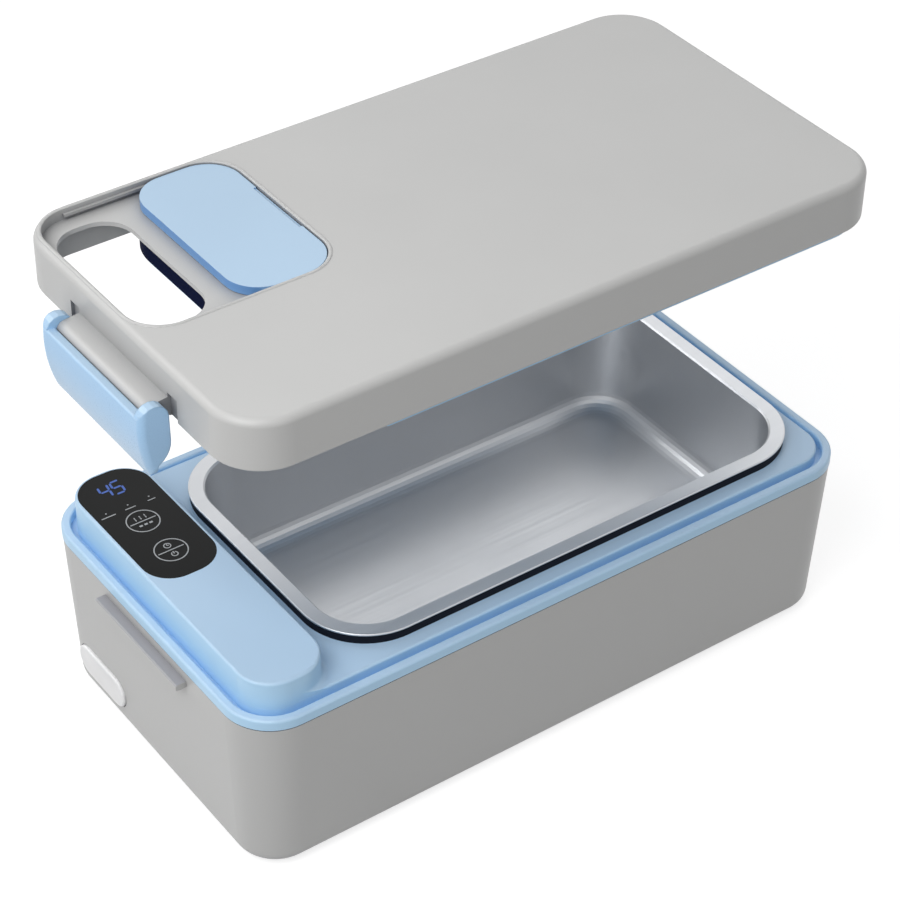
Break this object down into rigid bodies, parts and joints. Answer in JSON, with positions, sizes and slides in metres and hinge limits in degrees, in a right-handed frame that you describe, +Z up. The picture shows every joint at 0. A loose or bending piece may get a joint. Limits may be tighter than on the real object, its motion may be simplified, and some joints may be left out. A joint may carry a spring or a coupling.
{
  "type": "electric lunch box",
  "caption": "Cordless heated lunch box: steel tray in a battery-heated base, lift-off lid with end latches and a sliding shutter over the control panel.",
  "frame": {"origin": "middle of the box on the surface it stands on", "axes": "+X along the box away from the control panel, +Y across the box towards the side the display is nearer to, +Z up"},
  "size_m": [0.274, 0.135, 0.1877],
  "materials": {
    "shell_grey": "fine matt",
    "cover_grey": "fine matt",
    "feet_rubber": "matt",
    "screw_steel": "satin",
    "collar_blue": "satin",
    "window_black": "satin gloss",
    "board_green": "satin",
    "well_aluminium": "satin",
    "plate_aluminium": "satin",
    "film_amber": "gloss",
    "sensor_white": "satin",
    "fuse_brass": "satin",
    "felt_white": "matt",
    "cell_blue": "satin wrap",
    "holder_black": "matt",
    "wire_white": "satin",
    "port_white": "satin",
    "tray_steel": "satin, polished rim",
    "silicone_white": "matt",
    "seal_black": "matt",
    "seal_navy": "matt",
    "shutter_blue": "satin",
    "latch_blue": "satin"
  },
  "bodies": {
    "base": {"base_shell": "shell_grey", "bottom_cover": "cover_grey", "rubber_feet": "feet_rubber", "bottom_screws": "screw_steel", "deck_frame": "collar_blue", "display_window": "window_black", "display_board": "board_green", "board_screws": "screw_steel", "heating_well": "well_aluminium", "tray_seal": "seal_black", "well_screws": "screw_steel", "heat_plate": "plate_aluminium", "heater_film": "film_amber", "temperature_sensor": "sensor_white", "thermal_fuse": "fuse_brass", "insulation_jacket": "felt_white", "battery_cells": "cell_blue", "battery_holder": "holder_black", "control_board": "board_green", "charge_socket": "holder_black", "wire_harness": "wire_white"},
    "tray": {"food_tray": "tray_steel"},
    "lid": {"lid_shell": "shell_grey", "lid_liner": "collar_blue", "lid_gasket": "silicone_white", "lid_insulation": "felt_white", "liner_screws": "screw_steel", "liner_seal": "seal_navy", "latch_pin_left": "screw_steel", "latch_pin_right": "screw_steel"},
    "shutter": {"shutter": "shutter_blue"},
    "latch_l": {"latch_left": "latch_blue"},
    "latch_r": {"latch_right": "latch_blue"},
    "port_cover": {"port_cover": "port_white"}
  },
  "joints": [
    {"name": "lid_lift", "type": "slide", "parent": "base", "child": "lid", "axis": [0, 0, 1], "range_m": [-0.1, 0.06]},
    {"name": "tray_lift", "type": "slide", "parent": "base", "child": "tray", "axis": [0, 0, 1], "range_m": [0, 0.055]},
    {"name": "shutter_slide", "type": "slide", "parent": "lid", "child": "shutter", "axis": [-1, 0, 0], "range_m": [0, 0.035]},
    {"name": "latch_left_hinge", "type": "hinge", "parent": "lid", "child": "latch_l", "pos_m": [-0.1302, 0, 0.1724], "axis": [0, 1, 0], "range_deg": [-8, 80]},
    {"name": "latch_right_hinge", "type": "hinge", "parent": "lid", "child": "latch_r", "pos_m": [0.1302, 0, 0.1724], "axis": [0, -1, 0], "range_deg": [-8, 80]},
    {"name": "port_cover_pull", "type": "slide", "parent": "base", "child": "port_cover", "axis": [-0.999, 0, -0.0456], "range_m": [0, 0.012]}
  ]
}
